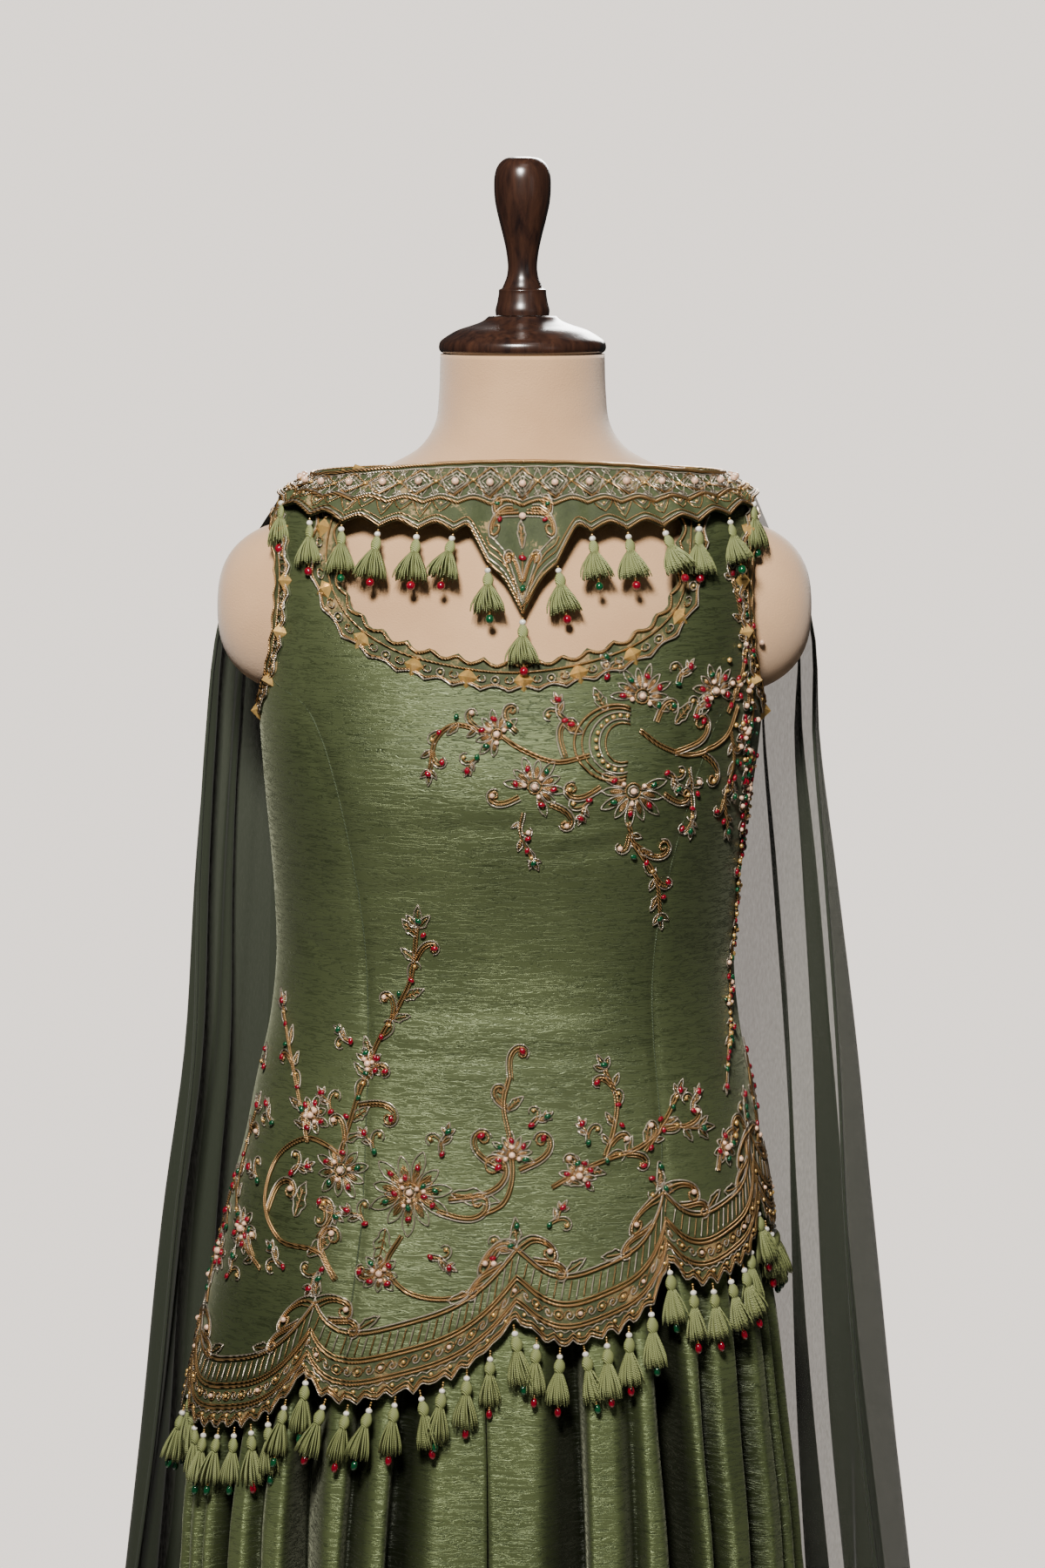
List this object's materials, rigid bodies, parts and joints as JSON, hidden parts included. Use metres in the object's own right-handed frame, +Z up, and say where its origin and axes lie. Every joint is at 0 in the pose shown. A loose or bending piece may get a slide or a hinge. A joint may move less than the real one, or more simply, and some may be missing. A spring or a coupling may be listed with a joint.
{
  "type": "sharara suit on dress form",
  "caption": "Sleeveless embroidered kurti with slanting tasselled hem, flared sharara, collar with back cape, on a limbless dress form with pole and round base.",
  "frame": {"origin": "on the floor, at the middle of the base's underside, under the pole", "axes": "+Z up, the front faces -Y, +X towards the wearer's left"},
  "size_m": [0.7396, 0.5905, 1.611],
  "materials": {
    "satin": "sage green crushed satin, soft sheen",
    "chiffon": "sheer green chiffon",
    "zari": "green satin worked with gold thread and beads",
    "silk_thread": "loose silk thread",
    "suede": "cream suede",
    "dark_wood": "glossy dark lacquer",
    "steel": "satin"
  },
  "bodies": {
    "root": {"form_torso": "suede", "neck_cap": "dark_wood", "finial_knob": "dark_wood", "stand_pole": "steel", "stand_base": "dark_wood", "sharara_leg_left": "satin", "sharara_leg_right": "satin", "sharara_waistband": "satin", "kurti_side_back_left": "satin", "kurti_centre_back": "satin", "kurti_side_back_right": "satin", "kurti_side_front_right": "satin", "kurti_centre_front": "satin", "kurti_side_front_left": "satin", "neckline_border": "zari", "armhole_border_right": "zari", "armhole_border_left": "zari", "hem_border": "zari", "hem_tassels_back": "silk_thread", "hem_tassels_front": "silk_thread", "cape_collar": "zari", "cape": "chiffon", "collar_tassel_01": "silk_thread", "collar_tassel_02": "silk_thread", "collar_tassel_03": "silk_thread", "collar_tassel_04": "silk_thread", "collar_tassel_05": "silk_thread", "collar_tassel_06": "silk_thread", "collar_tassel_07": "silk_thread", "collar_tassel_08": "silk_thread", "collar_tassel_09": "silk_thread", "collar_tassel_10": "silk_thread", "collar_tassel_11": "silk_thread", "collar_tassel_12": "silk_thread", "collar_tassel_13": "silk_thread", "collar_tassel_14": "silk_thread", "collar_tassel_15": "silk_thread"}
  },
  "joints": []
}
